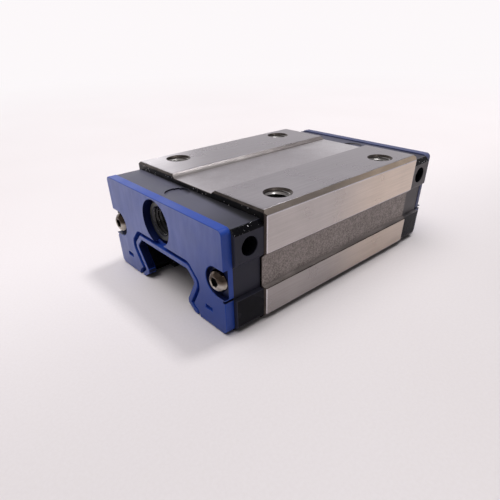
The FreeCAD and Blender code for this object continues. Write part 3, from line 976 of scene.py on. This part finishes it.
def port_rows():
    """Mouth cone, thread and drilled bottom of the port, by depth and reach."""
    rows = threaded_rows(port_bottom - port_runout, port_mouth, port_core, port_root, port_pitch)
    rows.append((port_bottom - port_runout + ring_gap, port_core))
    rows.append((port_bottom - corner_round, port_core - port_corner))
    rows.append((port_bottom, port_drilling + ring_gap))
    return rows


print("port rows", len(port_rows()))

# %% Grease port
port_height = 15.65
port_side = 0.9


def cut_port(cap, end):
    """Set a threaded bore into the cap in place of its smooth one."""
    middle = -end * port_side * mm

    def from_axis(place):
        return math.hypot(place.y - middle, place.z - port_height * mm)

    def in_port(place):
        deep_enough = abs(place.x) > (boss_front - port_bottom - slack) * mm
        return deep_enough and from_axis(place) < (port_mouth + slack) * mm

    def spot(depth, distance, turn):
        across = middle + distance * math.cos(turn)
        up = port_height * mm + distance * math.sin(turn)
        return Vector((end * (boss_front * mm - depth), across, up))

    take_out(cap, in_port)
    rim = open_edges(cap, lambda place: from_axis(place) > port_core * mm)
    drilling = open_edges(cap, lambda place: from_axis(place) < port_core * mm)
    rings = turned(cap, spot, port_rows(), round_columns, shaded_port)
    bmesh.ops.bridge_loops(cap, edges=rim + ring_edges(rings[0]))
    bmesh.ops.bridge_loops(cap, edges=drilling + ring_edges(rings[-1]))
    bmesh.ops.recalc_face_normals(cap, faces=cap.faces)


print("port stands", port_side, "mm off the middle")

# %% End caps
for name, end in (("front", -1), ("rear", 1)):
    cap = clean_shell(name + "_end_cap")
    for face in cap.faces:
        face.material_index = cap_look(face)
    break_edges(cap, cap_edge, matt)
    for face in cap.faces:
        if is_top_edge(face):
            face.material_index = glossy
    cut_port(cap, end)
    show(cap, name + "_cap", cap_looks, name + "_end_cap")

# %% [markdown]
# ## The end seals
#
# A seal is a blue plate with a groove and a raised lip round the rail. It could be drawn anew, but its
# node has the true outline, so only its edges are softened: it is moulded, and the round along the
# top and the corner catches the light. The front of the plate has the painted sheen, the screw pockets
# and the walls of the openings have painted shade, and the far rim has the greyer finish.

# %% Faces of the end seals
port_clearance = 4.8
pocket_side = 18.5
pocket_foot = 6.8
pocket_head = 14.2
pocket_inner = 14.0
pocket_floor = 31.2
open_side = 19.5
seal_front = 32.2
face_depth = 0.2
opening_half, opening_top = 12.0, 19.5
edgewise, straight_out = 0.1, 0.99
rim, face_side, pocket = range(3)


def seal_edge(middle):
    """Where the plate is softened: not close to the grease port or at the open side of a pocket."""
    side = math.copysign(port_side * mm, -middle.x)
    by_pocket = abs(middle.y) > pocket_side * mm and pocket_foot * mm < middle.z < pocket_head * mm
    by_port = math.hypot(middle.y - side, middle.z - port_height * mm) <= port_clearance * mm
    return not by_port and not by_pocket


def seal_look(face):
    """Which finish a face of the plate has: rim, face with painted sheen, or pocket with painted shade."""
    place = face.calc_center_median()
    if abs(face.normal.x) > squarely and abs(place.x) > (seal_front - face_depth) * mm:
        return face_side
    goes_through = min(abs(corner.co.x) for corner in face.verts) < past_cap_face * mm
    in_opening = abs(place.y) < opening_half * mm and place.z < opening_top * mm
    if goes_through and in_opening and abs(face.normal.x) < edgewise:
        return pocket
    beside_screw = abs(place.y) > pocket_inner * mm and pocket_foot * mm < place.z < pocket_head * mm
    if beside_screw and abs(place.x) > pocket_floor * mm:
        return pocket if abs(face.normal.y) < straight_out or abs(place.y) < open_side * mm else rim
    return rim


print("rules for the faces of the seals are ready")

# %% End seals
for name, rim_look in (("front", seal_blue), ("rear", seal_far_rim)):
    seal = clean_shell(name + "_end_seal")
    for face in seal.faces:
        face.material_index = seal_look(face)
    break_edges(seal, seal_edge, rim)
    show(seal, name + "_seal", [rim_look, seal_face, seal_dark], name + "_end_seal")

# %% [markdown]
# ## The end screws
#
# Each end is held by two button-head screws with a hexagon socket. The socket could be cut out of a
# dome, but turning is simpler: a short straight rim, a dome and a flat are rings, and so are the small
# bright chamfer of the mouth and the six-sided socket. The shank below has a fine thread.

# %% Screw heads
head_radius = 2.15
head_height = 1.35
rim_break, rim_height = 0.04, 0.2
dome_radius = 1.548
dome_reach = 0.63
dome_drop = 0.089
dome_start = 10.75
dome_step = 5.765
dome_rings = 10
flat_break = 0.06
socket_half = 0.85
socket_depth = 0.9
mouth_width, mouth_chamfer = 0.12, 0.1
taper, taper_share, taper_round = 0.1, 0.6, 0.5
shank_core = 1.02


def six_sided(half, round_share=0.0):
    """Reach of a hexagon with its corners up and down, or part of the way to a circle."""
    def reach(turn):
        flat = half / math.cos((turn + math.pi / 6 - math.pi / 2) % (math.pi / 3) - math.pi / 6)
        return flat + round_share * (half * 2 / math.sqrt(3) - flat)
    return reach


def head_rows():
    """Outside of a head from under the rim to the flat, by depth and reach."""
    rows = [(0.0, shank_core), (0.0, head_radius - rim_break)]
    rows += [(rim_break, head_radius), (rim_height, head_radius)]
    for ring in range(1, dome_rings + 1):
        swing = math.radians(dome_start + ring * dome_step)
        rows.append((dome_radius * math.sin(swing) - dome_drop, dome_reach + dome_radius * math.cos(swing)))
    rows.append((head_height, rows[-1][1] - flat_break))
    rows.append((head_height, six_sided(socket_half + mouth_width, 1.0)))
    rows.append((head_height - mouth_chamfer, six_sided(socket_half)))
    return rows


def socket_rows():
    """Socket from under its chamfer to the bottom."""
    foot = head_height - socket_depth
    return [(head_height - mouth_chamfer, six_sided(socket_half)), (foot, six_sided(socket_half)),
            (foot - taper, six_sided(socket_half * taper_share, taper_round))]


print("head rows", len(head_rows()), "socket rows", len(socket_rows()))

# %% Screw shanks
shank_radius = 1.25
shank_pitch = 0.45
shank_length = 14.0
shank_steps = 5
shank_columns = 24
shank_overlap = 0.05
shank_runout = 0.35
shank_point, shank_taper = 0.3, 0.2


def shank_rows():
    """Threaded shank from inside the head to its end."""
    rows = []
    depth = -shank_overlap
    while depth < shank_length - shank_runout:
        rows.append((-depth, thread(depth, shank_core, shank_radius, shank_pitch)))
        depth += shank_pitch / shank_steps
    rows.append((-shank_length + shank_point, shank_core))
    rows.append((-shank_length, shank_core - shank_taper))
    return rows


print("shank rows", len(shank_rows()))

# %% End screws
seat_place = 31.25
screw_side = 17.45
screw_height = 10.6
socket_point = 0.2
doubled_within = 0.001
plating, dark_socket = range(2)


def add_screw(shell, end, side):
    """One screw, with its axis along the rail."""
    def spot(depth, distance, turn):
        across = side * screw_side * mm + distance * math.cos(turn)
        up = screw_height * mm + distance * math.sin(turn)
        return Vector((end * (seat_place * mm + depth), across, up))

    head = turned(shell, spot, head_rows(), round_columns, plating)
    closed(shell, head[0], spot(0, 0, 0), plating)
    socket = turned(shell, spot, socket_rows(), round_columns, dark_socket)
    closed(shell, socket[-1], spot((head_height - socket_depth - socket_point) * mm, 0, 0), dark_socket)
    shank = turned(shell, spot, shank_rows(), shank_columns, plating)
    closed(shell, shank[0], spot((shank_overlap + slack) * mm, 0, 0), plating)
    closed(shell, shank[-1], spot(-shank_length * mm, 0, 0), plating)


for name, end in (("front", -1), ("rear", 1)):
    screws = bmesh.new()
    for side in (-1, 1):
        add_screw(screws, end, side)
    bmesh.ops.remove_doubles(screws, verts=screws.verts, dist=doubled_within * mm)
    bmesh.ops.recalc_face_normals(screws, faces=screws.faces)
    show(screws, name + "_screws", [screw_nickel, socket_dark], name + "_end_screws", 35)

# %% [markdown]
# ## The faces of the carriage
#
# Each face of the steel gets the finish of the tool that made it. The carriage could be split into
# one piece for each finish, but the real one is a single bar, so it stays one piece. As on the caps,
# where a face is and which way it looks tell its finish.

# %% Faces of the carriage
steel_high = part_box("carriage_body")[1]
block_top = steel_high.z
half_width = steel_high.y
below_pads = 1.2
chamfer_reach = 2.0
band_split = 8.0
recess_reach, recess_low, recess_high = 1.4, 6.0, 16.0
foot_reach, foot_top = 1.5, 2.0
slanted = 0.3
steel_looks = [pad_steel, band_steel, floor_steel, recess_steel, chamfer_steel, end_steel, channel_steel,
               foot_steel, thread_steel, step_steel, low_band_steel, slope_steel, deep_steel]
pad, band, floor, recess, chamfer, black_end, channel, foot = range(8)
cut_thread, step, low_band, slope, deep = range(8, len(steel_looks))


def carriage_look(face):
    """Which finish a face of the carriage has, by where it is and which way it looks."""
    place = face.calc_center_median()
    normal = face.normal
    inward = half_width - abs(place.y)
    if abs(normal.x) > squarely:
        return black_end
    if abs(normal.x) > mostly:
        return foot
    if normal.z > squarely and place.z > block_top - on_face * mm:
        return pad
    if normal.z > squarely and place.z > block_top - below_pads * mm:
        return floor
    if normal.z > slanted and place.z > block_top - below_pads * mm:
        return chamfer if inward < chamfer_reach * mm else step
    if abs(normal.y) > squarely and inward < on_face * mm:
        return band if place.z > band_split * mm else low_band
    if inward < recess_reach * mm and recess_low * mm < place.z < recess_high * mm:
        return slope if normal.z > slanted else recess
    if inward < foot_reach * mm and place.z < foot_top * mm:
        return foot
    return channel


print("finishes of the carriage", len(steel_looks))

# %% [markdown]
# ## The threaded holes and the carriage
#
# The four holes in the pads get cut threads with a countersunk mouth, in the same way as the grease
# port. The mouth gets the dark skin, the first turns of a thread are bright and the depth gets painted
# shade. The edges of the steel are broken like real ones, but not the rims of the holes, which have
# their countersink.

# %% Rows of a threaded hole
hole_mouth = 2.75
hole_core = 2.1
hole_root = 2.5
hole_pitch = 0.8
hole_depth = 7.0
hole_runout = 1.0
plain_rows = (0.9, 0.7)


def hole_rows():
    """Countersunk mouth, thread and plain end of a hole, by depth and reach."""
    rows = threaded_rows(hole_depth - hole_runout, hole_mouth, hole_core, hole_root, hole_pitch)
    return rows + [(hole_depth - above_bottom, hole_core) for above_bottom in plain_rows]


print("hole rows", len(hole_rows()))

# %% Threaded holes
hole_places = [(x, y) for x in (-16.0, 16.0) for y in (-16.0, 16.0)]
drilled_depth = 12.0
mouth_depth = 0.45
clean_depth = 1.2


def from_hole(place, x, y):
    """Distance of a place from the axis of a hole."""
    return math.hypot(place.x - x * mm, place.y - y * mm)


def cut_hole(shell, x, y):
    """Set a threaded hole into a pad in place of the smooth one."""
    def in_hole(place):
        high_enough = place.z > block_top - drilled_depth * mm
        return high_enough and from_hole(place, x, y) < (hole_mouth + slack) * mm

    def spot(depth, distance, turn):
        aside = x * mm + distance * math.cos(turn)
        return Vector((aside, y * mm + distance * math.sin(turn), block_top - depth))

    take_out(shell, in_hole)
    rim_edges = open_edges(shell, in_hole)
    rings = turned(shell, spot, hole_rows(), round_columns)
    closed(shell, rings[-1], spot(hole_depth * mm, 0, 0))
    bmesh.ops.bridge_loops(shell, edges=rim_edges + ring_edges(rings[0]))
    for face in {face for ring in rings for corner in ring for face in corner.link_faces}:
        depth = (block_top - face.calc_center_median().z) / mm
        # Painted shade: the depth of each hole is nearly black.
        face.material_index = foot if depth < mouth_depth else cut_thread if depth < clean_depth else deep


print("holes", len(hole_places))

# %% Carriage
rim_clearance = 0.1
end_chamfer = 0.3
recess_foot = 7.0
side_reach, edge_reach = 0.3, 0.25


def away_from_holes(middle):
    """True where no threaded hole is near, so that its rim stays as it is."""
    return all(from_hole(middle, x, y) > (hole_mouth + rim_clearance) * mm for x, y in hole_places)


def stays_dark(place):
    """True for the softened edges that get the dark finish: the ends, which keep their skin, and the foot
    of the side recess, where it is painted shade.
    """
    by_side = half_width - abs(place.y) < side_reach * mm
    by_recess = by_side and abs(place.z - recess_foot * mm) < edge_reach * mm
    return by_recess or abs(place.x) > steel_high.x - end_chamfer * mm


carriage = clean_shell("carriage_body")
for face in carriage.faces:
    face.material_index = carriage_look(face)
break_edges(carriage, away_from_holes, pad)
# The foot of the side recess gets a dark line of painted shade; the ends keep their dark skin.
for face in carriage.faces:
    if face.material_index == pad and stays_dark(face.calc_center_median()):
        face.material_index = foot
for x, y in hole_places:
    cut_hole(carriage, x, y)
bmesh.ops.recalc_face_normals(carriage, faces=carriage.faces)
show(carriage, "carriage", steel_looks, "carriage_body")

# %% [markdown]
# ## The inner pieces
#
# The balls, guides, strips, bottom seals and the plug sit inside or below, where little of them shows.
# They could be made again with softer edges, but they already have their true shape in the frame, so
# they keep it and only get a finish.

# %% Inner pieces
inner_looks = {
    "balls": ball_chrome,
    "guide": guide_dark,
    "strip": strip_dark,
    "bottom_seal": rubber_black,
    "plug": plug_black,
}
finished = 0
for name, node in nodes.items():
    for ending, finish in inner_looks.items():
        if name.endswith(ending):
            node.material_slots[0].material = finish
            finished += 1
print("inner pieces finished", finished)
